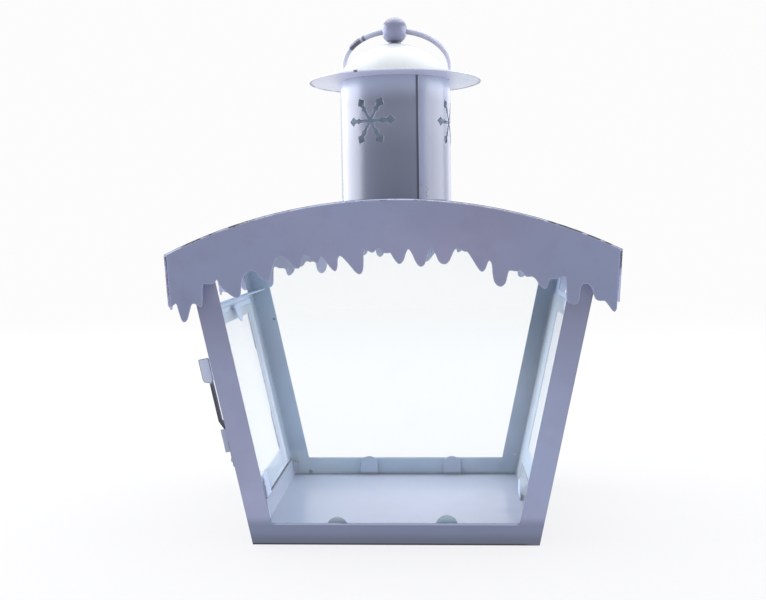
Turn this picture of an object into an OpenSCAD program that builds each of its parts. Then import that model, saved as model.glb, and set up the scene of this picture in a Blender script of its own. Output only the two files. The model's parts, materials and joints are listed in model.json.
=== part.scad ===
// Sheet-metal candle lantern: upright front and back, side walls that lean outwards,
// an arched roof with icicle edging, a pierced chimney with a domed cap, and a carrying ring.
// The origin is the centre of the base on the surface it stands on. The front faces -Y.

/* [Body] */
// Width and depth of the square base
base_w = 130; // [126:1:134]
// Lean of the left and right walls from upright, in degrees
lean = 11.84; // [11.4:0.02:12.2]
// Thickness of the sheet metal
sheet = 0.6; // [0.5:0.05:0.7]
// Width of a corner post seen from the front
post_w = 11; // [10:0.5:12]
// Width of a corner post seen from the side
flange_w = 12; // [11:0.5:12.5]
// Height of the bottom rail of the front and back frames
rail_h = 10; // [9:0.2:11]
// Height of the lower edge of the hidden top rail
top_rail_z = 136; // [135:0.5:137]

/* [Glass] */
// Thickness of the panes
glass = 1.5; // [1.2:0.1:1.6]
// Width of a round-topped glass clip
clip_w = 10; // [8:0.5:11]
// Height of a floor clip
clip_h = 12.4; // [11:0.2:13]

/* [Roof] */
// Height of the roof's crown
roof_top = 156; // [155:0.5:157]
// Outer radius of the roof's arch
roof_r = 227; // [224:1:230]
// Width of the roof
roof_w = 200; // [198:1:202]
// Depth of the roof
roof_d = 146; // [144:1:150]

/* [Chimney and cap] */
// Outer radius of the chimney
tube_r = 27.5; // [26.5:0.5:28]
// Height of the underside of the cap's brim
brim_z = 215.6; // [214:0.2:217]
// Radius of the brim
brim_r = 43.3; // [42:0.1:44]
// Radius of the dome's sphere
dome_r = 33.6; // [33:0.1:34]
// Height of the centre of a pierced snowflake
flake_z = 194.5; // [192:0.5:196]
// Length of one arm of a snowflake
flake_r = 12.4; // [11:0.2:13]

/* [Finial and ring] */
// Diameter of the ball
ball_d = 13; // [12.6:0.2:13.4]
// Diameter of the cross hole in the ball
ball_hole = 5; // [4.8:0.1:5.4]
// Centreline radius of the carrying ring
ring_r = 27.4; // [27:0.1:27.8]
// Diameter of the ring's wire
wire_d = 2.8; // [2.6:0.1:2.9]
// Angle below level at which the ring rests on the brim, behind the ball
ring_rest = 31; // [30:0.1:31]

/* [Door and latch] */
// Gap round the door
door_gap = 0.4; // [0.3:0.05:0.5]
// Width of the door's stiles
stile_w = 12; // [11:0.5:13]
// Diameter of a hinge pin
pin_d = 1.5; // [1.4:0.05:1.55]
// Width of the latch lever's arm
latch_w = 4; // [3.5:0.5:4]

/* [Hidden] */

hb = base_w/2;                   // half of the base
t = sheet;
gap = 0.05;                      // clearance between a pane and its frame
zc = roof_top - roof_r;          // height of the centre of the roof's arch
slope = tan(lean);
rim_w = 10;                      // height of the base rim along the wall
door_lo = 10.3;                  // door, measured along the wall
door_hi = 106.6;
side_rail_lo = 106.8;            // fixed rail over the side openings
side_rail_hi = 109.9;
rail_leg = 8;                    // reach of that rail's inner leg, from the wall's outer face
post_top = 137.4;                // top of the posts' side flanges
dome_zc = 200.9;                 // centre of the dome's sphere
brim_top = brim_z + t;
ball_z = 241.2;
hinge_y = hb - flange_w;         // hinge axis, over the edge of the rear post
hinge_n = 1.6;                   // and this far outside the wall
latch_y = -58.7;                 // latch pivot on the front post
latch_s = 48.5;

white = [0.56, 0.57, 0.68];
inner = [0.50, 0.60, 0.70];
pane = [0.80, 0.90, 0.92, 0.3];
steel = [0.45, 0.45, 0.48];

// Half of the body's outer width at a height
function half(z) = hb + slope*z;

// Smooth line through a row of points
function spline(p, n) = [for (i = [0:len(p) - 2], k = [0:n - 1])
    let (a = p[max(i - 1, 0)], b = p[i], c = p[i + 1], d = p[min(i + 2, len(p) - 1)], u = k/n)
    b + 0.5*u*((c - a) + u*((2*a - 5*b + 4*c - d) + u*(3*b - a - 3*c + d)))];

// Lower edge of the icicle trim on the front, from left to right: [across, height]
icicles = [[-97.6,109.5],[-96.2,110.5],[-95,111],[-94,107.5],[-92.8,103.8],[-91.6,102.9],[-90.3,104],[-89.2,107.5],[-88.2,110.6],[-86.6,110.9],
    [-84.6,109.6],[-83.9,109.6],[-83.4,111.5],[-83.2,116],[-82.9,118.9],[-82.2,119.6],[-78.3,119.7],[-76.5,121.5],[-75,118.6],[-71.8,115.6],[-69.4,113.9],
    [-67.4,113.6],[-66.2,115],[-65.7,119.5],[-64.5,123.2],[-62,125.1],[-59.7,124.8],[-57.8,123],[-55.6,121],[-54,120.6],[-52.8,122.2],
    [-51.8,126.5],[-50.4,130.2],[-48.2,131.2],[-46,130.6],[-44,128.6],[-42.2,126.6],[-40.6,126],[-39.4,127],[-38.7,130],[-37.6,131.8],
    [-36.2,131.4],[-34.8,129.8],[-32.8,128.6],[-31.6,128.2],[-30.9,130],[-30,131],[-28.6,129.6],[-26.8,127],[-25,125],[-23.8,124.9],
    [-23.1,127],[-22.9,130.2],[-22,131.3],[-20.4,130.2],[-17.6,127],[-15.4,124.3],[-13.6,123.2],[-12.2,124.4],[-11.7,127.5],[-11.6,132],
    [-11.2,133.8],[-9.8,133.5],[-8.2,132.6],[-7,132.9],[-6,134],[-4.8,134.4],[-3.4,133],[-1.8,132.2],[0,132.3],[1.2,130.4],
    [3,128],[4.4,127.6],[5.8,129],[7,132.4],[8,133.8],[9.4,132],[11.4,127.7],[13.3,126.2],[15,127.3],[16,130.4],
    [17,133],[18,134.2],[19.4,132.2],[21.2,128.3],[23.5,127.1],[25.6,128.4],[27.4,132.2],[28.8,133.9],[30.4,133.6],[32,132.6],
    [33.6,132.2],[35.6,129.2],[38.4,124.7],[40,123.7],[41.4,125.2],[42.4,127.8],[43.2,128.3],[44,126.6],[44.4,122],[45.4,118.6],
    [47.6,117.1],[49.8,118.5],[50.8,122],[51.5,123.9],[53,123.9],[54.6,123.7],[56.4,124.1],[58.8,121.4],[61.3,121.3],[63,120],
    [64.8,117.2],[66.8,116],[68,117],[68.8,119.6],[70.5,120.3],[72.2,120.2],[73.8,121],[75.2,121.2],[75.9,119.4],[76.1,112],
    [77.4,109.6],[79.6,109.1],[81.4,110.6],[82,115.4],[83,117.6],[84.8,117.9],[86.6,116.6],[87.6,113.6],[88.6,111.2],[90.4,110.5],
    [92.4,110.4],[94,108.6],[95.6,106.4],[96.8,105.8],[97.6,107.2]];

// The back trim has the same line, with a whole icicle at its end
back_icicles = concat([for (i = [0:len(icicles) - 8]) icicles[i]],
    [[88.6,111.2],[90.7,108.9],[91.7,108],[92.8,107.5],[94,108.1],[94.9,109.2],[95.6,111.6],[97.6,112.4]]);

// Lower edge of a side trim, from the front to the back: [along, drop below the eave]
side_icicles = [[-71.8,-22],[-70,-23],[-68.6,-24],[-67,-23],[-66,-19],[-63,-17.5],[-60,-18.5],[-58,-22],[-56.6,-24.6],[-55,-22],
    [-54,-17],[-51,-15.5],[-47,-16.5],[-44.6,-20],[-43.2,-22],[-41.8,-20],[-40,-15],[-36,-14.5],[-32,-17.5],[-30.4,-21.5],
    [-29,-23.6],[-27.4,-21],[-26,-16],[-22,-14.5],[-18,-16],[-15.8,-19],[-14.4,-20.4],[-13,-18],[-11,-14.5],[-6,-14],
    [-2,-16.6],[0,-21],[1.6,-23.8],[3.2,-21],[4.6,-16],[9,-14.6],[13,-16.4],[15,-20],[16.4,-21.6],[18,-19],
    [20,-15.4],[25,-14.8],[29,-17.6],[31,-22],[32.6,-24.4],[34.5,-23],[38,-22.8],[43,-23.4],[48,-24],[53,-24.2],
    [56.5,-23.8],[58.5,-21],[60.2,-20],[61.2,-22.6],[62.4,-24.6],[63.6,-21.6],[65.4,-18.6],[68,-19.4],[70,-21.6],[71.8,-22.4]];

// Frame of the left wall: X runs into the lantern from the wall's outer face, Y along it, Z up the slope
module left_wall() { translate([-hb, 0, 0]) rotate([0, -lean, 0]) children(); }
module right_wall() { mirror([1, 0, 0]) left_wall() children(); }

// Upright plate in the XZ plane, its outer face at -y0, made of an outline
module upright(y0, thick, pts) { translate([0, -y0 + thick, 0]) rotate([90, 0, 0]) linear_extrude(thick) polygon(pts); }

// Long cylinder along Y about the centre of the roof's arch
module arch(r) { translate([0, -90, zc]) rotate([-90, 0, 0]) cylinder(r = r, h = 180, $fn = 180); }

// Outline that follows the leaning posts, inset from their outer faces
function trapezoid(inset, z0, z1) = [[-half(z0) + inset, z0], [half(z0) - inset, z0], [half(z1) - inset, z1], [-half(z1) + inset, z1]];

// One folded frame: two posts, a bottom rail and a top rail that follows the roof
module folded_frame() {
    difference() {
        intersection() {
            upright(hb, t, trapezoid(0, 0, 150));
            arch(roof_r - t - 0.15);
        }
        upright(hb + 1, t + 2, trapezoid(post_w, rail_h, top_rail_z));
    }
    left_wall() translate([0, -hb, 0]) cube([t, flange_w, post_top]);
    right_wall() translate([0, -hb, 0]) cube([t, flange_w, post_top]);
}

module front_frame() color(white) folded_frame();
module back_frame() color(inner) rotate([0, 0, 180]) folded_frame();

// Floor with an upstanding rim under each side opening
module base_tray() color([0.78, 0.82, 0.90]) {
    edge = hb - t - 0.1;
    side = hb - flange_w;
    translate([-edge, -hb + t, 0]) cube([2*edge, 2*(hb - t), t]);
    for (s = [-1, 1]) translate([s*(hb - 0.7) - 0.5, -side, 0]) cube([1, 2*side, t]);
    left_wall() translate([0, -side, 0]) cube([t, 2*side, rim_w]);
    right_wall() translate([0, -side, 0]) cube([t, 2*side, rim_w]);
    // on the door side the rim is hemmed, and the hem runs inside the posts to a corner tab at each end
    left_wall() translate([t, -62.1, 0.2]) cube([t, 124.2, rim_w - 0.4]);
    for (y = [-61.6, 62.1]) translate([0, y, 0]) rotate([90, 0, 0]) linear_extrude(0.5)
        polygon([[-64.2, 0.3], [-63.6, 0.3], [-61.9, 7.9], [-65.8, 7.9]]);
}

// Narrow fixed rail that joins the posts over a side opening
module side_rail() {
    side = hb - flange_w;
    translate([0, -side, side_rail_lo]) cube([t, 2*side, side_rail_hi - side_rail_lo]);
}

// The one over the door has an inner leg that runs inside the posts
module left_top_rail() color(inner) left_wall() {
    side = hb - flange_w;
    side_rail();
    translate([t, -62.1, side_rail_hi - t]) cube([rail_leg - t, 124.2, t]);
    translate([0, -side, side_rail_hi - t]) cube([2*t, 2*side, t]);
}
module right_top_rail() color(inner) right_wall() side_rail();

// Flat pressed frame that fills a side opening: stiles, bottom rail and top rail
module pressed_frame(top) {
    side = hb - flange_w - door_gap;
    difference() {
        translate([0, -side, door_lo]) cube([t, 2*side, top - door_lo]);
        translate([-1, -side + stile_w, door_lo + 10.3]) cube([t + 2, 2*(side - stile_w), 78.4]);
    }
}

// The fixed one meets the rail over it and has four small solder lugs that reach the posts
module right_side_frame() color(white) right_wall() {
    pressed_frame(side_rail_lo);
    side = hb - flange_w;
    for (y = [-side, side - door_gap - 0.2], s = [20, 88])
        translate([0, y, s]) cube([t, door_gap + 0.2, 6]);
}
module door_frame() color(white) left_wall() pressed_frame(door_hi);

module upright_pane() {
    intersection() {
        upright(hb - t - gap, glass, trapezoid(1.2, 1.2, 137.5));
        arch(roof_r - t - 0.6);
    }
}
module front_glass() color(pane) upright_pane();
module back_glass() color(pane) rotate([0, 0, 180]) upright_pane();
module right_glass() color(pane) right_wall() translate([t + gap, -hb + 3, 1.8]) cube([glass, 2*hb - 6, 105.4]);
module door_glass() color(pane) left_wall() translate([t + gap, -46, 12.4]) cube([glass, 92, 91.8]);

// Round-topped clip: an upright flap in the YZ plane with its face at x = 0, and its root at z = 0
module flap(h) {
    translate([0, -clip_w/2, 0]) cube([0.5, clip_w, h - clip_w/2]);
    intersection() {
        translate([0, 0, h - clip_w/2]) rotate([0, 90, 0]) cylinder(d = clip_w, h = 0.5, $fn = 48);
        translate([-1, -clip_w, 0]) cube([3, 2*clip_w, h + 1]);
    }
}

clip_y = hb - t - 2*gap - glass;     // face of a floor clip against the pane

// Two clips stand on the floor, with a foot under the pane, and two hang from the top rail;
// floor is a list of [across, height]
module upright_clips(floor) {
    for (c = floor) translate([c[0], -clip_y, t]) {
        rotate([0, 0, 90]) flap(c[1] - t);
        translate([-clip_w/2, -(glass + 2*gap), 0]) cube([clip_w, glass + 2*gap + 0.5, 0.5]);
    }
    for (x = [-62, 62]) translate([x - clip_w/2, 0, 0]) {
        translate([0, -hb + t, 138.2]) cube([clip_w, 0.5, 5]);
        translate([0, -hb + t, 138.2]) cube([clip_w, hb - t - clip_y + 0.5, 0.5]);
        translate([0, -clip_y, 132.5]) cube([clip_w, 0.5, 6.2]);
    }
}
module front_glass_clips() color(white) upright_clips([[-26.4, clip_h - 0.2], [23.5, clip_h + 0.8]]);
module back_glass_clips() color(inner) rotate([0, 0, 180]) upright_clips([[-27.2, clip_h - 1.2], [20.8, clip_h - 1.3]]);

// The clip on the floor stands upright, and the one above is fixed to the rail
module right_glass_clips() color(white) {
    translate([61.7, 12, t]) flap(9.9);
    translate([61.7, 7, t]) cube([2.1, clip_w, 0.5]);
    right_wall() {
        translate([t, -11, 107.4]) cube([0.5, clip_w, 2.4]);
        translate([t, -11, 107.4]) cube([2*gap + glass + 0.5, clip_w, 0.5]);
        translate([t + 2*gap + glass, -11, 102.4]) cube([0.5, clip_w, 5.5]);
    }
}

module door_glass_clips() color(inner) left_wall() {
    x1 = t + 2*gap + glass;
    translate([t, -25, 10.7]) cube([x1 - t + 0.5, clip_w, 0.5]);
    translate([x1, -20, 10.7]) flap(12.9);
    translate([t, -1, 105.7]) cube([x1 - t + 0.5, clip_w, 0.5]);
    translate([x1, 4, 106.2]) rotate([0, -8, 0]) mirror([0, 0, 1]) flap(9);
}

// Hinges: a post leaf with two outer knuckles, and a door leaf with one between them
hinge_at = [20, 78];                 // lower ends of the two hinges, along the wall
module knuckle(s0, s1) {
    translate([-hinge_n, hinge_y, s0]) difference() {
        cylinder(r = 1.5, h = s1 - s0, $fn = 32);
        translate([0, 0, -1]) cylinder(d = pin_d + 0.1, h = s1 - s0 + 2, $fn = 32);
    }
}
module tongue(s0, s1, dir) {
    difference() {
        translate([-0.65, dir > 0 ? hinge_y : hinge_y - 2.2, s0]) cube([0.6, 2.2, s1 - s0]);
        translate([-hinge_n, hinge_y, s0 - 1]) cylinder(d = pin_d + 0.1, h = s1 - s0 + 2, $fn = 32);
    }
}
module post_hinge_leaves() color(inner) left_wall() for (s = hinge_at) {
    for (k = [[0, 6], [14, 20]]) {
        knuckle(s + k[0], s + k[1]);
        tongue(s + k[0], s + k[1], 1);
    }
    translate([-0.65, hinge_y + 2, s]) cube([0.65, 8, 20]);
}
module door_hinge_leaves() color(inner) left_wall() for (s = hinge_at) {
    knuckle(s + 6.2, s + 13.8);
    tongue(s + 6.2, s + 13.8, -1);
    translate([-0.65, hinge_y - 10, s]) cube([0.65, 8, 20]);
}
module hinge_pins() color(steel) left_wall() for (s = hinge_at) translate([-hinge_n, hinge_y, s - 0.6]) {
    cylinder(d = pin_d, h = 21.2, $fn = 32);
    cylinder(r = 1.2, h = 0.5, $fn = 32);
    translate([0, 0, 20.7]) cylinder(r = 1.2, h = 0.5, $fn = 32);
}

// Turn latch: an arm that stands off the wall, with a finger tab bent out at its end
module latch_lever() color(white) left_wall() difference() {
    translate([0, latch_y, latch_s]) {
        translate([-1.6, 0, 0]) rotate([0, 90, 0]) cylinder(r = 2.5, h = 1, $fn = 48);
        translate([0, latch_w/2, 0]) rotate([90, 0, 0]) linear_extrude(latch_w)
            polygon([[-0.6, 0], [-0.6, 5.2], [-2.5, 9.6], [-2.5, 29], [-3.5, 29], [-3.5, 9.4], [-1.6, 5], [-1.6, 0]]);
        translate([0, -latch_w/2 + 0.9, 0]) rotate([90, 0, 0]) linear_extrude(0.9)
            polygon([[-1.5, 28.6], [-2.4, 27.6], [-3.9, 27.6], [-5.8, 28.4], [-6.2, 29.4], [-6.2, 38.4], [-5.8, 39], [-1.9, 39], [-1.4, 38.4]]);
    }
    translate([-3, latch_y, latch_s]) rotate([0, 90, 0]) cylinder(r = 1.05, h = 4, $fn = 48);
}
module latch_rivet() color(steel) left_wall() translate([0, latch_y, latch_s]) rotate([0, 90, 0]) {
    translate([0, 0, -2.3]) cylinder(r = 1.9, h = 0.6, $fn = 48);
    translate([0, 0, -2.3]) cylinder(r = 1, h = 2.3, $fn = 48);
    translate([0, 0, -0.5]) cylinder(r = 2.2, h = 0.5, $fn = 48);
}
module latch_stop() color(white) left_wall() difference() {
    union() {
        translate([-3.1, -62.3, 43.5]) cube([3.1, 0.6, 10.7]);
        translate([-0.5, -64.6, 36.8]) cube([0.5, 2.4, 17.4]);
    }
    translate([-2, -63.4, 39.9]) rotate([0, 90, 0]) cylinder(r = 0.6, h = 3, $fn = 32);
}
module latch_stop_rivet() color(steel) left_wall() translate([0, -63.4, 39.9]) rotate([0, 90, 0]) {
    translate([0, 0, -1.1]) cylinder(r = 0.95, h = 0.6, $fn = 32);
    translate([0, 0, -1.1]) cylinder(r = 0.6, h = 1.1, $fn = 32);
}

// Arched roof sheet with the hole that takes the chimney
module roof_sheet() color(white) difference() {
    intersection() {
        arch(roof_r);
        translate([-roof_w/2, -roof_d/2, 100]) cube([roof_w, roof_d, 80]);
    }
    arch(roof_r - t);
    translate([0, 0, 100]) cylinder(r = tube_r + 0.05, h = 80, $fn = 96);
}

// Icicle trim: its top follows the roof and its foot is the icicle line
module icicle_plate(foot) {
    intersection() {
        upright(roof_d/2, t, concat(spline(foot, 4), [foot[len(foot) - 1], [99, 134], [99, 170], [-99, 170], [-99, 134]]));
        arch(roof_r - t - 0.03);
    }
}
module front_icicle_trim() color(white) icicle_plate(icicles);
module back_icicle_trim() color(inner) rotate([0, 0, 180]) icicle_plate(back_icicles);

// Side trim: hangs from the eave and leans in a little towards its foot
module side_plate() {
    translate([-roof_w/2, 0, zc + sqrt((roof_r - t)*(roof_r - t) - roof_w*roof_w/4) - 0.1]) rotate([0, -3, 0])
        rotate([90, 0, 90]) linear_extrude(t)
            polygon(concat([[-72.9, 0], [-72.4, -22]], spline(side_icicles, 3), [[72.4, -22], [72.9, 0]]));
}
module left_icicle_trim() color(white) side_plate();
module right_icicle_trim() color(white) rotate([0, 0, 180]) side_plate();

// Outline of one snowflake arm: a shank with two barbs and a pointed head
module flake() for (k = [0:5]) rotate([0, 0, 60*k]) linear_extrude(12)
    polygon([[-0.3, -0.8], [flake_r*0.42, -0.65], [flake_r*0.52, -1.5], [flake_r*0.6, -0.75], [flake_r*0.68, -1.0],
        [flake_r*0.8, -2.3], [flake_r, 0], [flake_r*0.8, 2.3], [flake_r*0.68, 1.0], [flake_r*0.6, 0.75], [flake_r*0.52, 1.5], [flake_r*0.42, 0.65], [-0.3, 0.8]]);

// Chimney rolled from one sheet: the outer lap steps out at the seam and runs back into the tube
seam = -65;                          // direction of the seam
module chimney_tube() color(white) difference() {
    union() {
        translate([0, 0, 151]) cylinder(r = tube_r, h = brim_z - 151, $fn = 96);
        translate([0, 0, roof_top + 0.4]) linear_extrude(brim_z - roof_top - 0.4)
            polygon(concat([[0, 0]], [for (k = [0:14]) (tube_r + 0.6 - 0.6*k/14)*[cos(seam + 3*k), sin(seam + 3*k)]]));
    }
    translate([0, 0, 150]) cylinder(r = tube_r - t, h = 80, $fn = 96);
    for (a = [-114, -14.5, 72.5, 159]) translate([0, 0, flake_z]) rotate([0, 0, a]) translate([20, 0, 0])
        rotate([90, 0, 90]) flake();
}

module cap_brim() color(white) difference() {
    union() {
        translate([0, 0, brim_z]) cylinder(r = brim_r, h = t, $fn = 128);
        translate([0, 0, brim_z + 0.3]) rotate_extrude($fn = 128) translate([brim_r - 0.5, 0]) circle(r = 0.55, $fn = 24);
    }
    translate([0, 0, brim_z - 1]) cylinder(r = 26.5, h = 4, $fn = 96);
}

module cap_dome() color(white) difference() {
    union() {
        intersection() {
            translate([0, 0, dome_zc]) sphere(r = dome_r, $fn = 128);
            translate([0, 0, brim_top]) cylinder(r = 40, h = 40, $fn = 96);
        }
        translate([0, 0, brim_top]) cylinder(r = 31.6, h = 0.5, $fn = 96);
    }
    translate([0, 0, dome_zc]) sphere(r = dome_r - t, $fn = 128);
    translate([0, 0, 225]) cylinder(r = 1.6, h = 15, $fn = 32);
}

module finial_ball() color([0.35, 0.36, 0.45]) difference() {
    union() {
        translate([0, 0, ball_z]) sphere(d = ball_d, $fn = 96);
        translate([0, 0, 234.5]) cylinder(r = 3.2, h = 3, $fn = 48);
    }
    translate([-20, 0, ball_z]) rotate([0, 90, 0]) cylinder(d = ball_hole, h = 40, $fn = 48);
    translate([0, 0, 230]) cylinder(r = 1.5, h = 8.2, $fn = 32);
}

// Screw that holds the ball on the dome from inside
module finial_screw() color(steel) {
    translate([0, 0, 231.4]) cylinder(r = 2.8, h = 2.2, $fn = 48);
    translate([0, 0, 233]) cylinder(r = 1.5, h = 5.2, $fn = 32);
}

// Ring threaded through the ball, lying back on the brim
module ring_handle() color(white)
    translate([0, 0, ball_z]) rotate([-ring_rest, 0, 0]) translate([0, ring_r, 0])
        rotate_extrude($fn = 96) translate([ring_r, 0]) circle(d = wire_d, $fn = 24);

base_tray();
front_frame();
back_frame();
left_top_rail();
right_top_rail();
right_side_frame();
front_glass();
back_glass();
right_glass();
front_glass_clips();
back_glass_clips();
right_glass_clips();
door_frame();
door_glass();
door_glass_clips();
post_hinge_leaves();
door_hinge_leaves();
hinge_pins();
latch_lever();
latch_rivet();
latch_stop();
latch_stop_rivet();
roof_sheet();
front_icicle_trim();
back_icicle_trim();
left_icicle_trim();
right_icicle_trim();
chimney_tube();
cap_brim();
cap_dome();
finial_ball();
finial_screw();
ring_handle();
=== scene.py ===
import json

import bmesh
import bpy
from mathutils import Matrix, Vector


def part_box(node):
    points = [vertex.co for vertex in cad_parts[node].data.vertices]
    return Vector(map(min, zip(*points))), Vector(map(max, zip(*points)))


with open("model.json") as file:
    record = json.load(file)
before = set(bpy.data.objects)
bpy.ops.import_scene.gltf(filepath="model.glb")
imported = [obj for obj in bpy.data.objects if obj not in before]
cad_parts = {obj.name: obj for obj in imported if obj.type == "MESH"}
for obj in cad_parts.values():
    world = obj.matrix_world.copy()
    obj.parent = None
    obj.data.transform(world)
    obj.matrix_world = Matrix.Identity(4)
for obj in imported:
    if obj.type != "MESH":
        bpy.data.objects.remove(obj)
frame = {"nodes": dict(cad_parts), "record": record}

S, C = 0.20517938, 0.97872439   # sine and cosine of the side walls' lean
scene = bpy.context.scene
nodes = frame["nodes"]
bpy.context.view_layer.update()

# ---------------------------------------------------------------- camera
cam_data = bpy.data.cameras.new("camera")
cam_data.sensor_fit = "HORIZONTAL"
cam_data.sensor_width = 36.0
cam_data.lens = 47.11
cam_data.clip_start = 0.01
cam = bpy.data.objects.new("camera", cam_data)
right = Vector((0.9982265, 0.05770882, -0.0146134))
up = Vector((0.01028054, 0.07467685, 0.99715479))
fwd = Vector((-0.05863591, 0.99553657, -0.07395113))
m = Matrix.Identity(4)
for row in range(3):
    m[row][0], m[row][1], m[row][2] = right[row], up[row], -fwd[row]
m[0][3], m[1][3], m[2][3] = 0.02227, -0.50885, 0.14425
cam.matrix_world = m
scene.collection.objects.link(cam)
scene.camera = cam


# ---------------------------------------------------------------- node helpers
class Graph:
    """Short calls for building one material's nodes."""

    def __init__(self, name):
        self.mat = bpy.data.materials.new(name)
        self.mat.use_nodes = True
        self.nt = self.mat.node_tree
        self.nt.nodes.clear()
        self.out = self.nt.nodes.new("ShaderNodeOutputMaterial")
        self.coord = self.nt.nodes.new("ShaderNodeTexCoord").outputs["Object"]

    def put(self, socket, value):
        if isinstance(value, bpy.types.NodeSocket):
            self.nt.links.new(value, socket)
        elif value is not None:
            socket.default_value = value

    def math(self, op, a, b=None, c=None, clamp=False):
        n = self.nt.nodes.new("ShaderNodeMath")
        n.operation = op
        n.use_clamp = clamp
        for s, v in zip(n.inputs, (a, b, c)):
            self.put(s, v)
        return n.outputs[0]

    def vmath(self, op, a, b=None, out=0):
        n = self.nt.nodes.new("ShaderNodeVectorMath")
        n.operation = op
        self.put(n.inputs[0], a)
        if b is not None:
            self.put(n.inputs[1], b)
        return n.outputs[out]

    def noise(self, scale, detail=3.0, rough=0.55, stretch=None, shift=(0, 0, 0), distortion=0.0):
        vec = self.coord
        if stretch or shift != (0, 0, 0):
            mp = self.nt.nodes.new("ShaderNodeMapping")
            self.put(mp.inputs["Vector"], vec)
            mp.inputs["Scale"].default_value = stretch or (1, 1, 1)
            mp.inputs["Location"].default_value = shift
            vec = mp.outputs[0]
        n = self.nt.nodes.new("ShaderNodeTexNoise")
        self.put(n.inputs["Vector"], vec)
        n.inputs["Scale"].default_value = scale
        n.inputs["Detail"].default_value = detail
        n.inputs["Roughness"].default_value = rough
        n.inputs["Distortion"].default_value = distortion
        return n.outputs[0]

    def voronoi(self, scale, feature="F1", out="Distance", shift=(0, 0, 0), stretch=(1, 1, 1)):
        mp = self.nt.nodes.new("ShaderNodeMapping")
        self.put(mp.inputs["Vector"], self.coord)
        mp.inputs["Location"].default_value = shift
        mp.inputs["Scale"].default_value = stretch
        n = self.nt.nodes.new("ShaderNodeTexVoronoi")
        n.feature = feature
        self.put(n.inputs["Vector"], mp.outputs[0])
        n.inputs["Scale"].default_value = scale
        return n.outputs[out]

    def step(self, value, low, high, to_low=0.0, to_high=1.0, smooth=True):
        n = self.nt.nodes.new("ShaderNodeMapRange")
        n.interpolation_type = "SMOOTHSTEP" if smooth else "LINEAR"
        n.clamp = True
        self.put(n.inputs["Value"], value)
        n.inputs["From Min"].default_value = low
        n.inputs["From Max"].default_value = high
        n.inputs["To Min"].default_value = to_low
        n.inputs["To Max"].default_value = to_high
        return n.outputs["Result"]

    def mix(self, fac, a, b):
        n = self.nt.nodes.new("ShaderNodeMix")
        n.data_type = "RGBA"
        self.put(n.inputs["Factor"], fac)
        self.put(n.inputs[6], a)
        self.put(n.inputs[7], b)
        return n.outputs[2]

    def axis(self, i):
        n = self.nt.nodes.new("ShaderNodeSeparateXYZ")
        self.put(n.inputs[0], self.coord)
        return n.outputs[i]

    def edges(self, radius, low=0.02, high=0.25):
        """1 along the sheet's cut edges and folds, 0 on its faces."""
        b = self.nt.nodes.new("ShaderNodeBevel")
        b.samples = 6
        b.inputs["Radius"].default_value = radius
        g = self.nt.nodes.new("ShaderNodeNewGeometry")
        d = self.vmath("DOT_PRODUCT", b.outputs[0], g.outputs["Normal"], out="Value")
        return self.step(self.math("SUBTRACT", 1.0, d), low, high)

    def bump(self, layers, round_edges=0.0):
        """Stacks (height socket, distance in metres, strength) into one normal."""
        normal = None
        if round_edges:
            b = self.nt.nodes.new("ShaderNodeBevel")
            b.samples = 6
            b.inputs["Radius"].default_value = round_edges
            normal = b.outputs[0]
        for height, distance, strength in layers:
            n = self.nt.nodes.new("ShaderNodeBump")
            n.inputs["Distance"].default_value = distance
            n.inputs["Strength"].default_value = strength
            self.put(n.inputs["Height"], height)
            if normal is not None:
                self.put(n.inputs["Normal"], normal)
            normal = n.outputs[0]
        return normal

    def principled(self, colour, roughness, metallic=0.0, normal=None, **fixed):
        p = self.nt.nodes.new("ShaderNodeBsdfPrincipled")
        self.put(p.inputs["Base Color"], colour)
        self.put(p.inputs["Roughness"], roughness)
        self.put(p.inputs["Metallic"], metallic)
        if normal is not None:
            self.put(p.inputs["Normal"], normal)
        for k, v in fixed.items():
            p.inputs[k.replace("_", " ")].default_value = v
        return p

    def lean_in(self):
        """Distance inwards from the outer face of a leaning side wall."""
        ax = self.math("ABSOLUTE", self.axis(0))
        return self.math("ADD", self.math("MULTIPLY", self.math("SUBTRACT", 0.065, ax), C), self.math("MULTIPLY", self.axis(2), S))

    def lean_up(self):
        """Distance up a leaning side wall."""
        ax = self.math("ABSOLUTE", self.axis(0))
        return self.math("ADD", self.math("MULTIPLY", self.math("SUBTRACT", ax, 0.065), S), self.math("MULTIPLY", self.axis(2), C))

    def wall_inside(self):
        """1 on the inner faces of the body's sheets, 0 on their outer faces."""
        back = self.math("SUBTRACT", 0.065, self.math("ABSOLUTE", self.axis(1)))
        return self.step(self.math("MINIMUM", self.lean_in(), back), 0.0002, 0.0004)

    def radius(self):
        """Distance from the lantern's upright axis."""
        x2 = self.math("MULTIPLY", self.axis(0), self.axis(0))
        y2 = self.math("MULTIPLY", self.axis(1), self.axis(1))
        return self.math("SQRT", self.math("ADD", x2, y2))

    def spot(self, place, r0, r1):
        """1 within r0 of a place, 0 beyond r1."""
        return self.step(self.vmath("DISTANCE", self.coord, place, out="Value"), r1, r0)

    def band(self, value, low, high, soft):
        """1 between two values, fading over soft on both sides."""
        return self.math("MULTIPLY", self.step(value, low - soft, low), self.step(value, high + soft, high))

    def done(self, shader):
        self.nt.links.new(shader.outputs[0], self.out.inputs["Surface"])
        return self.mat


DARK = (0.020, 0.018, 0.022, 1)
RUST = (0.085, 0.045, 0.030, 1)
BLACK = (0.012, 0.012, 0.016, 1)


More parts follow.
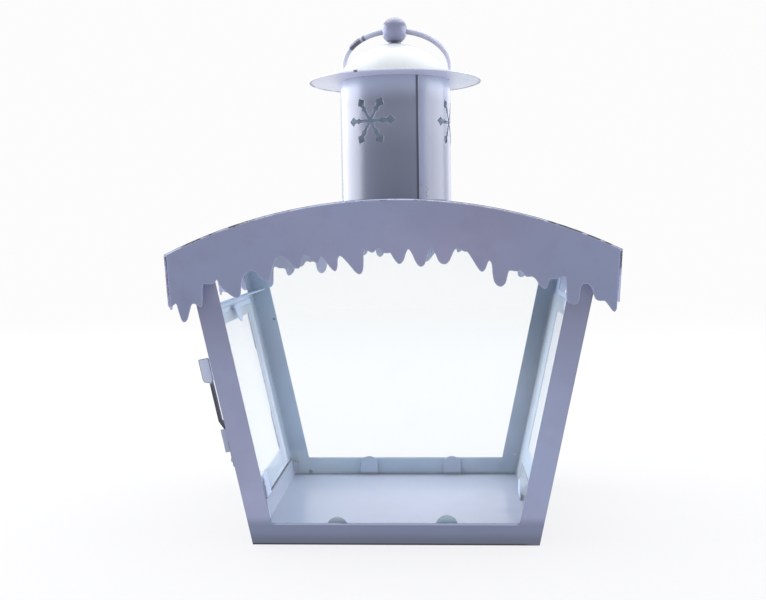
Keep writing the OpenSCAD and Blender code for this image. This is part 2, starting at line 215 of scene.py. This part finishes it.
def paint(name, outer, seed, inner=None, inside=None, wear=0.5, edge_radius=0.0007, gloss=0.34, shine=0.5, waves=1.0,
          calm=1.0, painted_edge_highlight=0.0, marks=(), more_wear=None):
    """Sprayed paint on thin sheet metal: mottled, slightly wavy, worn to dark metal along its edges.

    marks are (mask, colour, strength) laid over the paint, some of them painted shade or painted light;
    painted_edge_highlight paints a highlight along the rounded edges; calm below 1 softens the mottling and smears."""
    g = Graph(name)
    sh = (seed, seed * 0.7 + 0.3, -seed)
    cloud = g.noise(14, 3, 0.6, shift=sh)
    drift = g.noise(13, 1, 0.4, shift=(sh[2], sh[0], sh[1]))
    patch = g.noise(75, 4, 0.6, shift=sh)
    grain = g.noise(900, 2, 0.5, shift=sh)

    def shades(c):
        light = (*[min(1, x * (1 + 0.10 * calm)) for x in c], 1)
        deep = (*[x * (1 - 0.13 * calm) for x in c], 1)
        cool = (c[0] * 0.88, min(1, c[1] * 1.02), min(1, c[2] * 1.03), 1)
        col = g.mix(g.step(cloud, 0.30, 0.70), deep, light)
        col = g.mix(g.math("MULTIPLY", g.step(drift, 0.36, 0.64), 0.75 * calm), col, cool)
        return g.mix(g.math("MULTIPLY", g.step(patch, 0.45, 0.75), 0.40 * calm), col, (*[x * 0.82 for x in c], 1))

    col = shades(outer)
    if inner is not None:
        col = g.mix(inside(g), col, shades(inner))
    # handling marks: faint darker smears and fine scratches
    smear = g.math("MULTIPLY", g.step(g.noise(42, 5, 0.7, stretch=(1, 1, 0.35), shift=sh), 0.56, 0.74), 0.22 * calm)
    col = g.mix(smear, col, (outer[0] * 0.60, outer[1] * 0.60, outer[2] * 0.62, 1))
    fine = g.math("MULTIPLY", g.step(g.noise(240, 2, 0.5, stretch=(1, 1, 0.06), shift=sh), 0.70, 0.78), 0.18 * calm)
    col = g.mix(fine, col, (outer[0] * 0.55, outer[1] * 0.55, outer[2] * 0.58, 1))
    edge = g.edges(edge_radius)
    # painted highlight: a lighter colour along the rounded edges
    if painted_edge_highlight:
        col = g.mix(g.math("MULTIPLY", edge, painted_edge_highlight), col, (*[min(1, x * 1.9 + 0.06) for x in outer], 1))
    for mask, colour, strength in marks:
        col = g.mix(g.math("MULTIPLY", mask(g), strength), col, colour)
    # chips along the edges
    bite = g.noise(230, 4, 0.65, shift=sh)
    patchy = g.noise(38, 2, 0.5, shift=(sh[1], sh[0], sh[2]))
    level = g.math("ADD", g.math("MULTIPLY", bite, 0.55), g.math("MULTIPLY", patchy, 0.45))
    if more_wear is not None:
        level = g.math("ADD", level, more_wear(g))
    low = 0.66 - 0.22 * wear
    chips = g.math("MULTIPLY", g.step(level, low, low + 0.035), edge)
    # a few small nicks away from the edges
    nick = g.voronoi(120, shift=sh)
    keep = g.step(g.noise(60, 1, 0.5, shift=(sh[2], sh[0], sh[1])), 0.66, 0.70)
    nicks = g.math("MULTIPLY", g.step(nick, 0.10, 0.055), keep)
    bare = g.math("MAXIMUM", chips, g.math("MULTIPLY", nicks, wear), clamp=True)
    metal = g.mix(g.step(g.noise(500, 3, 0.6, shift=sh), 0.45, 0.62), DARK, RUST)
    col = g.mix(bare, col, metal)
    rough = g.math("ADD", g.math("MULTIPLY", patch, 0.12 * calm), gloss - 0.05)
    rough = g.math("ADD", rough, g.math("MULTIPLY", smear, 0.4))
    rough = g.math("ADD", rough, g.math("MULTIPLY", bare, 0.30), clamp=True)
    height = g.math("SUBTRACT", grain, g.math("MULTIPLY", bare, 3.0))
    normal = g.bump([
        (g.noise(28, 2, 0.5, shift=sh), 0.0012 * waves, 0.35),
        (g.noise(210, 3, 0.5, shift=sh), 0.00012, 0.35),
        (height, 0.00005, 0.5)], round_edges=0.00035)
    p = g.principled(col, rough, g.math("MULTIPLY", bare, 0.55), normal, Specular_IOR_Level=shine)
    return g.done(p)


def glass(name):
    """A thin clear pane with faint wipe marks and dust."""
    g = Graph(name)
    dust = g.noise(70, 5, 0.7)
    wipe = g.noise(30, 4, 0.6, stretch=(1, 1, 0.25), distortion=0.6)
    rough = g.math("ADD", g.math("MULTIPLY", g.step(wipe, 0.45, 0.75), 0.06), 0.012)
    clear = g.nt.nodes.new("ShaderNodeBsdfTransparent")
    clear.inputs["Color"].default_value = (0.993, 0.997, 0.998, 1)
    p = g.principled((0.84, 0.89, 0.91, 1), rough, 0.0)
    # the same reflection on the way in and out, so light isn't trapped behind a thin pane
    lw = g.nt.nodes.new("ShaderNodeLayerWeight")
    lw.inputs["Blend"].default_value = 0.5
    schlick = g.math("ADD", g.math("MULTIPLY", g.math("POWER", lw.outputs["Facing"], 5.0), 0.60), 0.022)
    film = g.math("MULTIPLY", g.step(dust, 0.55, 0.80), 0.018)
    fac = g.math("ADD", schlick, g.math("ADD", film, 0.003), clamp=True)
    mix = g.nt.nodes.new("ShaderNodeMixShader")
    g.nt.links.new(fac, mix.inputs[0])
    g.nt.links.new(clear.outputs[0], mix.inputs[1])
    g.nt.links.new(p.outputs[0], mix.inputs[2])
    return g.done(mix)


def steel(name):
    """Dull bare steel with brushed lines, dark spots and a little rust."""
    g = Graph(name)
    lines = g.noise(900, 2, 0.6, stretch=(1, 0.08, 1))
    spots = g.noise(320, 4, 0.65)
    col = g.mix(g.step(lines, 0.3, 0.7), (0.20, 0.20, 0.21, 1), (0.42, 0.42, 0.43, 1))
    col = g.mix(g.math("MULTIPLY", g.step(spots, 0.52, 0.66), 0.7), col, RUST)
    rough = g.math("ADD", g.math("MULTIPLY", spots, 0.4), 0.22)
    normal = g.bump([(lines, 0.00004, 0.5), (spots, 0.00008, 0.4)], round_edges=0.0002)
    return g.done(g.principled(col, rough, 0.85, normal))


# The lantern is one lilac paint; these colours and the part table below give it different tones from part to part as
# painted light and shade: the front frame (POST) lighter, the chimney darker, the brim and dome lighter, and the clips
# lighter or darker by where they stand.
LILAC = (0.190, 0.193, 0.290)
POST = (0.252, 0.266, 0.385)
# INNER, PALE and the other inner colours are lighter copies of the paint on the inner faces, the tray floor, the roof's
# and chimney's insides and the brim's underside: painted light standing in for light the interior lacks.
INNER = (0.56, 0.66, 0.82)
PALE = (0.455, 0.46, 0.53)
GREY = (0.15, 0.15, 0.17, 1)

brim_mid = 0.5 * (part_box("cap_brim")[0][2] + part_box("cap_brim")[1][2])

front_marks_and_painted_light = (
    # painted shade: darker under the trim
    (lambda g: g.math("MULTIPLY", g.step(g.axis(2), 0.055, 0.105), g.step(g.axis(1), -0.0640, -0.0646)), (LILAC[0] * 0.96, LILAC[1] * 0.98, LILAC[2] * 0.96, 1), 1.0),
    # and painted light on the post tops right under the trim, lifting the trim's cast shadow
    (lambda g: g.math("MULTIPLY", g.step(g.axis(2), 0.106, 0.120), g.step(g.axis(1), -0.0640, -0.0646)), (0.30, 0.30, 0.43, 1), 0.85),
    # the bottom rail is duller than the posts and greys towards its foot, and its cut edge is worn black
    (lambda g: g.math("MULTIPLY", g.step(g.axis(2), 0.0135, 0.0085), g.step(g.axis(1), -0.0640, -0.0646)), (0.115, 0.135, 0.205, 1), 0.75),
    (lambda g: g.math("MULTIPLY", g.band(g.axis(1), -0.066, -0.0645, 0.0002), g.step(g.axis(2), 0.0070, 0.0015)), (0.070, 0.074, 0.100, 1), 0.60),
    (lambda g: g.math("MULTIPLY", g.step(g.axis(2), 0.0010, 0.0005), g.step(g.axis(0), 0.064, 0.056)), BLACK, 0.85),
    # painted highlight: a thin lighter line along the bottom rail's top edge
    (lambda g: g.math("MULTIPLY", g.math("MULTIPLY", g.band(g.axis(2), 0.0093, 0.0098, 0.0003), g.step(g.axis(1), -0.0640, -0.0646)), g.step(g.math("ABSOLUTE", g.axis(0)), 0.056, 0.054)), (0.42, 0.46, 0.60, 1), 0.5),
)
tray_marks_and_painted_shade = (
    (lambda g: g.math("MULTIPLY", g.step(g.axis(1), 0.010, 0.060), g.wall_inside()), (0.34, 0.39, 0.46, 1), 0.50),
    (lambda g: g.math("MULTIPLY", g.step(g.axis(0), -0.010, -0.052), g.wall_inside()), (0.38, 0.45, 0.56, 1), 0.45),
    # painted shade in the gap along the back rail, and a dark worn hem
    (lambda g: g.math("MULTIPLY", g.step(g.axis(1), 0.0608, 0.0618), g.step(g.axis(2), 0.0016, 0.0009)), BLACK, 0.6),
    (lambda g: g.math("MULTIPLY", g.step(g.lean_up(), 0.0090, 0.0097), g.step(g.lean_in(), 0.0025, 0.0015)), DARK, 0.7),
)
back_marks_and_painted_light = (
    # painted shade: darker along the frame's foot, at the gap by the tray
    (lambda g: g.step(g.axis(2), 0.0022, 0.0006), GREY, 0.55),
    # painted highlight: a thin lighter line along the back rail's top edge
    (lambda g: g.math("MULTIPLY", g.math("MULTIPLY", g.band(g.axis(2), 0.0093, 0.0100, 0.0003), g.band(g.axis(1), 0.0640, 0.0646, 0.0002)), g.step(g.math("ABSOLUTE", g.axis(0)), 0.056, 0.054)), (0.86, 0.90, 0.95, 1), 0.45),
    # painted shade on the right back post's inner face, away from the light from the left
    (lambda g: g.math("MULTIPLY", g.math("MULTIPLY", g.step(g.axis(0), 0.050, 0.062), g.step(g.axis(2), 0.045, 0.095)), g.band(g.axis(1), 0.0640, 0.0646, 0.0002)), (0.20, 0.28, 0.41, 1), 0.80),
    # the left post's side flange is painted darker as painted shade, and the rail's left end lighter as painted light
    (lambda g: g.math("MULTIPLY", g.math("MULTIPLY", g.step(g.axis(0), -0.050, -0.056), g.step(g.axis(1), 0.0640, 0.0634)), g.wall_inside()), (0.37, 0.43, 0.48, 1), 0.9),
    (lambda g: g.math("MULTIPLY", g.math("MULTIPLY", g.step(g.axis(0), -0.020, -0.050), g.step(g.axis(2), 0.016, 0.012)), g.band(g.axis(1), 0.0640, 0.0646, 0.0002)), (0.70, 0.78, 0.86, 1), 0.6),
    (lambda g: g.spot((-0.0552, 0.0644, 0.0016), 0.0008, 0.0014), (0.25, 0.24, 0.26, 1), 0.8),
    (lambda g: g.spot((0.0634, 0.0644, 0.0116), 0.0004, 0.0007), (0.95, 0.96, 0.98, 1), 0.9),
    (lambda g: g.spot((-0.0749, 0.0644, 0.0913), 0.0004, 0.0008), DARK, 0.9),
)
# painted shade: the clips darker at their feet
clip_painted_shade = ((lambda g: g.step(g.axis(2), 0.0026, 0.0010), GREY, 0.8),)
door_marks = (
    (lambda g: g.math("MAXIMUM", g.step(g.lean_up(), 0.0109, 0.0105), g.step(g.lean_up(), 0.1061, 0.1065)), DARK, 0.35),
)
rail_marks = ((lambda g: g.step(g.lean_up(), 0.1076, 0.1068), DARK, 0.30),)
seam_rust = lambda g: g.math("MULTIPLY", g.spot((0.0116, -0.0249, 0.1585), 0.002, 0.009), g.step(g.noise(420, 2, 0.5), 0.60, 0.66))
chimney_marks_and_painted_light = (
    # painted shade towards the roof, painted light under the brim, a painted highlight beside the seam, and a dark line
    # along the lapped seam
    (lambda g: g.step(g.axis(2), 0.198, 0.178), (0.082, 0.091, 0.138, 1), 1.0),
    (lambda g: g.math("MULTIPLY", g.step(g.axis(2), 0.2025, 0.2150), g.step(g.radius(), 0.02715, 0.02735)), (0.33, 0.375, 0.50, 1), 1.0),
    (lambda g: g.math("MULTIPLY", g.band(g.axis(0), 0.01095, 0.0117, 0.0002), g.step(g.axis(1), 0.0, -0.010)), (0.008, 0.008, 0.030, 1), 0.85),
    # painted highlight on the lap beside the seam
    (lambda g: g.math("MULTIPLY", g.math("MULTIPLY", g.step(g.axis(0), 0.0117, 0.0119), g.step(g.axis(0), 0.0190, 0.0140)), g.math("MULTIPLY", g.step(g.axis(1), 0.0, -0.010), g.step(g.axis(2), 0.2140, 0.2040))), (0.180, 0.200, 0.290, 1), 0.8),
    (seam_rust, RUST, 0.8),
)
brim_marks_and_painted_shade = (
    # painted shade: the upper face darker than its rim
    (lambda g: g.math("MULTIPLY", g.step(g.axis(2), brim_mid - 0.0001, brim_mid + 0.0001), g.step(g.radius(), 0.0420, 0.0412)), (0.30, 0.30, 0.37, 1), 0.9),
    # painted shade: the underside next to the chimney darker
    (lambda g: g.math("MULTIPLY", g.step(g.axis(2), brim_mid + 0.0001, brim_mid - 0.0001), g.step(g.math("ABSOLUTE", g.axis(0)), 0.033, 0.024)), (0.60, 0.60, 0.73, 1), 0.9),
    (lambda g: g.math("MULTIPLY", g.band(g.radius(), 0.0418, 0.0426, 0.0002), g.step(g.noise(60, 3, 0.6), 0.36, 0.50)), (0.20, 0.20, 0.27, 1), 0.6),
    (lambda g: g.spot((-0.0166, -0.0400, 0.2162), 0.0008, 0.0014), DARK, 0.9),
)
# painted light: the left trim's front end gets a lighter copy of the lilac paint
skirt_front = lambda g: g.step(g.axis(1), -0.0700, -0.0715)
skirt_top = lambda g: g.math("MULTIPLY", g.step(g.axis(1), -0.0724, -0.0728), g.step(g.axis(2), 0.1238, 0.1254))
# painted shadow of the ball on the dome's apex
dome_painted_shadow = ((lambda g: g.step(g.radius(), 0.0052, 0.0036), GREY, 0.7),)
ball_marks_and_painted_light = (
    # painted light: the lower half of the ball lighter
    (lambda g: g.step(g.axis(2), 0.2440, 0.2385), (0.225, 0.235, 0.345, 1), 0.85),
    # painted shadow: a dark band at the ball's foot
    (lambda g: g.step(g.axis(2), 0.2364, 0.2352), (0.015, 0.012, 0.040, 1), 0.85),
    (lambda g: g.spot((-0.0032, -0.0030, 0.2459), 0.0009, 0.0016), (0.10, 0.06, 0.045, 1), 0.9),
)
ring_marks_and_painted_light = (
    # painted light: the ring's lower part near white
    (lambda g: g.step(g.axis(2), 0.237, 0.224), (0.74, 0.72, 0.80, 1), 0.8),
    (lambda g: g.spot((-0.0200, 0.0075, 0.2367), 0.0038, 0.0050), (0.030, 0.024, 0.055, 1), 0.9),
    (lambda g: g.spot((-0.0154, 0.0041, 0.2387), 0.0013, 0.0020), (0.030, 0.024, 0.055, 1), 0.9),
)
latch_marks = (
    (lambda g: g.step(g.lean_up(), 0.0765, 0.0750), BLACK, 0.92),
    (lambda g: g.math("MULTIPLY", g.edges(0.0009, 0.01, 0.12), g.step(g.lean_up(), 0.0750, 0.0765)), BLACK, 0.8),
)


def roof_wear(g):
    """Extra chips along two stretches of the front edge."""
    left = g.band(g.axis(0), -0.088, -0.066, 0.004)
    right_end = g.band(g.axis(0), 0.065, 0.099, 0.004)
    return g.math("MULTIPLY", g.math("MULTIPLY", g.math("MAXIMUM", left, right_end), g.step(g.axis(1), -0.070, -0.072)), 0.12)


def skirt_wear(g):
    """Extra chips on the front ends of the side trims."""
    z = g.axis(2)
    left = g.math("MULTIPLY", g.band(z, 0.118, 0.1235, 0.001), g.step(g.axis(0), 0.0, -0.001))
    right_end = g.math("MULTIPLY", g.band(z, 0.1215, 0.130, 0.001), g.step(g.axis(0), 0.0, 0.001))
    return g.math("MULTIPLY", g.math("MULTIPLY", g.math("MAXIMUM", left, right_end), g.step(g.axis(1), -0.070, -0.072)), 0.25)


def roof_edge(g):
    """The worn black stretches of the roof's front cut edge."""
    ends = g.math("MAXIMUM", g.band(g.axis(0), -0.090, -0.062, 0.004), g.band(g.axis(0), 0.070, 0.0985, 0.004))
    worn = g.math("MULTIPLY", g.step(g.axis(1), -0.0724, -0.0728), g.step(g.noise(150, 3, 0.6), 0.38, 0.48))
    return g.math("MULTIPLY", ends, worn)


def inside_wall(g):
    return g.wall_inside()


def inside_tube(g):
    return g.step(g.radius(), 0.02735, 0.02715)


def under_brim(g):
    return g.step(g.axis(2), brim_mid + 0.0001, brim_mid - 0.0001)


def inside_roof(g):
    x2 = g.math("MULTIPLY", g.axis(0), g.axis(0))
    rise = g.math("ADD", g.axis(2), 0.071)
    return g.step(g.math("SQRT", g.math("ADD", x2, g.math("MULTIPLY", rise, rise))), 0.2268, 0.2266)


def inside_plate(g):
    """The inner face of the front or back trim."""
    return g.step(g.math("ABSOLUTE", g.axis(1)), 0.0728, 0.0726)


def inside_skirt(g):
    """The inner face of a side trim, which leans in by 3 degrees."""
    face = g.math("ADD", g.math("MULTIPLY", g.axis(2), 0.0524), 0.09308)
    return g.step(g.math("SUBTRACT", face, g.math("ABSOLUTE", g.axis(0))), 0.0002, 0.0004)


# paint for each part, with its per-part tone and lighter inner copy as painted light and shade
paint_and_painted_light = {
    "front_frame": dict(outer=POST, seed=1.0, inner=INNER, inside=inside_wall, wear=0.42, marks=front_marks_and_painted_light),
    "front_icicle_trim": dict(outer=LILAC, seed=1.4, inner=(0.66, 0.68, 0.84), inside=inside_plate, wear=0.36, edge_radius=0.0010, painted_edge_highlight=0.6, waves=1.2),
    "back_icicle_trim": dict(outer=LILAC, seed=2.6, inner=(0.66, 0.68, 0.84), inside=inside_plate, wear=0.36, edge_radius=0.0010, painted_edge_highlight=0.6),
    "back_frame": dict(outer=LILAC, seed=2.0, inner=INNER, inside=inside_wall, wear=0.40, marks=back_marks_and_painted_light),
    "base_tray": dict(outer=LILAC, seed=3.0, inner=PALE, inside=inside_wall, wear=0.30, gloss=0.24, calm=0.35, waves=0.5, marks=tray_marks_and_painted_shade),
    "right_side_frame": dict(outer=LILAC, seed=2.2, inner=(0.66, 0.74, 0.86), inside=inside_wall, wear=0.45),
    "door_frame": dict(outer=LILAC, seed=2.4, inner=(0.69, 0.76, 0.88), inside=inside_wall, wear=0.50, marks=door_marks),
    "left_top_rail": dict(outer=LILAC, seed=2.8, inner=INNER, inside=inside_wall, wear=0.40, marks=rail_marks),
    "right_top_rail": dict(outer=LILAC, seed=2.9, inner=INNER, inside=inside_wall, wear=0.40, marks=rail_marks),
    "front_glass_clips": dict(outer=(0.33, 0.38, 0.44), seed=3.3, wear=0.40, marks=clip_painted_shade),
    "back_glass_clips": dict(outer=(0.45, 0.50, 0.61), seed=3.4, wear=0.35, painted_edge_highlight=0.5, marks=clip_painted_shade),
    "right_glass_clips": dict(outer=(0.68, 0.76, 0.92), seed=3.5, wear=0.40, marks=clip_painted_shade),
    "door_glass_clips": dict(outer=(0.64, 0.68, 0.84), seed=3.6, wear=0.50),
    "roof_sheet": dict(outer=LILAC, seed=4.0, inner=(0.76, 0.80, 0.98), inside=inside_roof, wear=0.75, more_wear=roof_wear, marks=((roof_edge, DARK, 0.85),)),
    "left_icicle_trim": dict(outer=LILAC, seed=4.2, inner=(0.62, 0.67, 0.94), inside=inside_skirt, wear=0.40, painted_edge_highlight=0.6, more_wear=skirt_wear, marks=((skirt_front, (0.33, 0.313, 0.485, 1), 1.0),)),
    "right_icicle_trim": dict(outer=LILAC, seed=4.4, inner=(0.62, 0.67, 0.94), inside=inside_skirt, wear=0.40, painted_edge_highlight=0.6, more_wear=skirt_wear, marks=((skirt_top, (0.050, 0.050, 0.075, 1), 0.9),)),
    "chimney_tube": dict(outer=(0.118, 0.125, 0.178), seed=5.0, inner=(0.74, 0.85, 1.00), inside=inside_tube, wear=0.30, edge_radius=0.0011, gloss=0.33, shine=0.95, calm=0.35, painted_edge_highlight=1.0, waves=0.7, marks=chimney_marks_and_painted_light),
    "cap_brim": dict(outer=(0.46, 0.46, 0.52), seed=6.0, inner=(0.95, 0.95, 0.98), inside=under_brim, calm=0.6, wear=0.40, marks=brim_marks_and_painted_shade),
    "cap_dome": dict(outer=(0.42, 0.415, 0.40), seed=6.3, wear=0.35, gloss=0.34, calm=0.6, marks=dome_painted_shadow),
    "latch_lever": dict(outer=(0.42, 0.44, 0.54), seed=7.0, wear=0.70, marks=latch_marks),
    "latch_stop": dict(outer=(0.30, 0.32, 0.42), seed=7.2, wear=0.70),
    "post_hinge_leaves": dict(outer=LILAC, seed=7.4, wear=0.75),
    "door_hinge_leaves": dict(outer=LILAC, seed=7.6, wear=0.75),
    "ring_handle": dict(outer=(0.36, 0.35, 0.44), seed=8.0, wear=0.70, marks=ring_marks_and_painted_light),
    "finial_ball": dict(outer=(0.132, 0.132, 0.195), seed=9.0, wear=0.35, gloss=0.30, shine=0.5, marks=ball_marks_and_painted_light),
}
pane = glass("pane")
bare_steel = steel("bare_steel")
slot_of = {s["node"]: s["material_slot"] for s in frame["record"]["subparts"]}
for name, ob in nodes.items():
    if name in paint_and_painted_light:
        mat = paint("paint_" + name, **paint_and_painted_light[name])
    elif slot_of[name] == "pane":
        mat = pane
    else:
        mat = bare_steel
    for ms in ob.material_slots:
        ms.material = mat

# ---------------------------------------------------------------- studio
def plane(name, w, d, z=0.0):
    me = bpy.data.meshes.new(name)
    bm = bmesh.new()
    vs = [bm.verts.new((x, y, z)) for x, y in ((-w, -d), (w, -d), (w, d), (-w, d))]
    bm.faces.new(vs)
    bm.to_mesh(me)
    bm.free()
    ob = bpy.data.objects.new(name, me)
    scene.collection.objects.link(ob)
    return ob


# the floor takes shadows near the lantern and turns into plain white further away
floor = plane("floor", 6, 6, -0.0002)
g = Graph("floor_white")
far = g.step(g.radius(), 0.45, 1.3)
near_white = g.mix(far, (0.08, 0.08, 0.08, 1), (0, 0, 0, 1))
p = g.principled(near_white, 0.9, Emission_Color=(1, 1, 1, 1), Specular_IOR_Level=0.0)
g.put(p.inputs["Emission Strength"], g.step(far, 0.0, 1.0, 0.80, 0.975, smooth=False))
floor.data.materials.append(g.done(p))


def softbox(name, place, target, w, h, power, colour=(1, 1, 1)):
    d = bpy.data.lights.new(name, "AREA")
    d.shape = "RECTANGLE"
    d.size, d.size_y = w, h
    d.energy = power
    d.color = colour
    ob = bpy.data.objects.new(name, d)
    ob.location = place
    ob.rotation_euler = (Vector(target) - Vector(place)).to_track_quat("-Z", "Y").to_euler()
    ob.visible_camera = False
    scene.collection.objects.link(ob)
    return ob


COOL = (0.95, 0.98, 1.08)
softbox("top_box", (0.0, 0.35, 1.25), (0, 0, 0.1), 1.6, 1.4, 22)
softbox("left_box", (-0.98, 0.34, 0.35), (0, 0, 0.12), 1.5, 1.0, 25, COOL)
softbox("right_box", (1.08, 0.12, 0.35), (0, 0, 0.13), 1.1, 0.9, 12, COOL)
softbox("back_box", (0.62, 0.96, 0.34), (0, 0, 0.13), 0.6, 0.7, 2.6, COOL)

world = bpy.data.worlds.new("studio")
scene.world = world
world.use_nodes = True
wt = world.node_tree
wt.nodes.clear()
w_out = wt.nodes.new("ShaderNodeOutputWorld")
w_bg = wt.nodes.new("ShaderNodeBackground")
w_co = wt.nodes.new("ShaderNodeTexCoord")
w_sep = wt.nodes.new("ShaderNodeSeparateXYZ")
w_map = wt.nodes.new("ShaderNodeMapRange")
w_map.interpolation_type = "SMOOTHSTEP"
w_path = wt.nodes.new("ShaderNodeLightPath")
w_mix = wt.nodes.new("ShaderNodeMix")
w_mix.data_type = "FLOAT"
wt.links.new(w_co.outputs["Generated"], w_sep.inputs[0])
wt.links.new(w_sep.outputs[1], w_map.inputs["Value"])
w_map.inputs["From Min"].default_value = -0.6
w_map.inputs["From Max"].default_value = 0.9
w_map.inputs["To Min"].default_value = 1.12
w_map.inputs["To Max"].default_value = 0.85
wt.links.new(w_path.outputs["Is Camera Ray"], w_mix.inputs[0])
wt.links.new(w_map.outputs[0], w_mix.inputs[2])
w_mix.inputs[3].default_value = 0.975
wt.links.new(w_mix.outputs[0], w_bg.inputs["Strength"])
# the light is slightly cool, and the background that the camera sees is plain white
w_tint = wt.nodes.new("ShaderNodeMix")
w_tint.data_type = "RGBA"
wt.links.new(w_path.outputs["Is Camera Ray"], w_tint.inputs["Factor"])
w_tint.inputs[6].default_value = (0.97, 1.00, 1.10, 1)
w_tint.inputs[7].default_value = (1, 1, 1, 1)
wt.links.new(w_tint.outputs[2], w_bg.inputs["Color"])
wt.links.new(w_bg.outputs[0], w_out.inputs[0])
scene.view_settings.view_transform = "Standard"
scene.view_settings.look = "None"
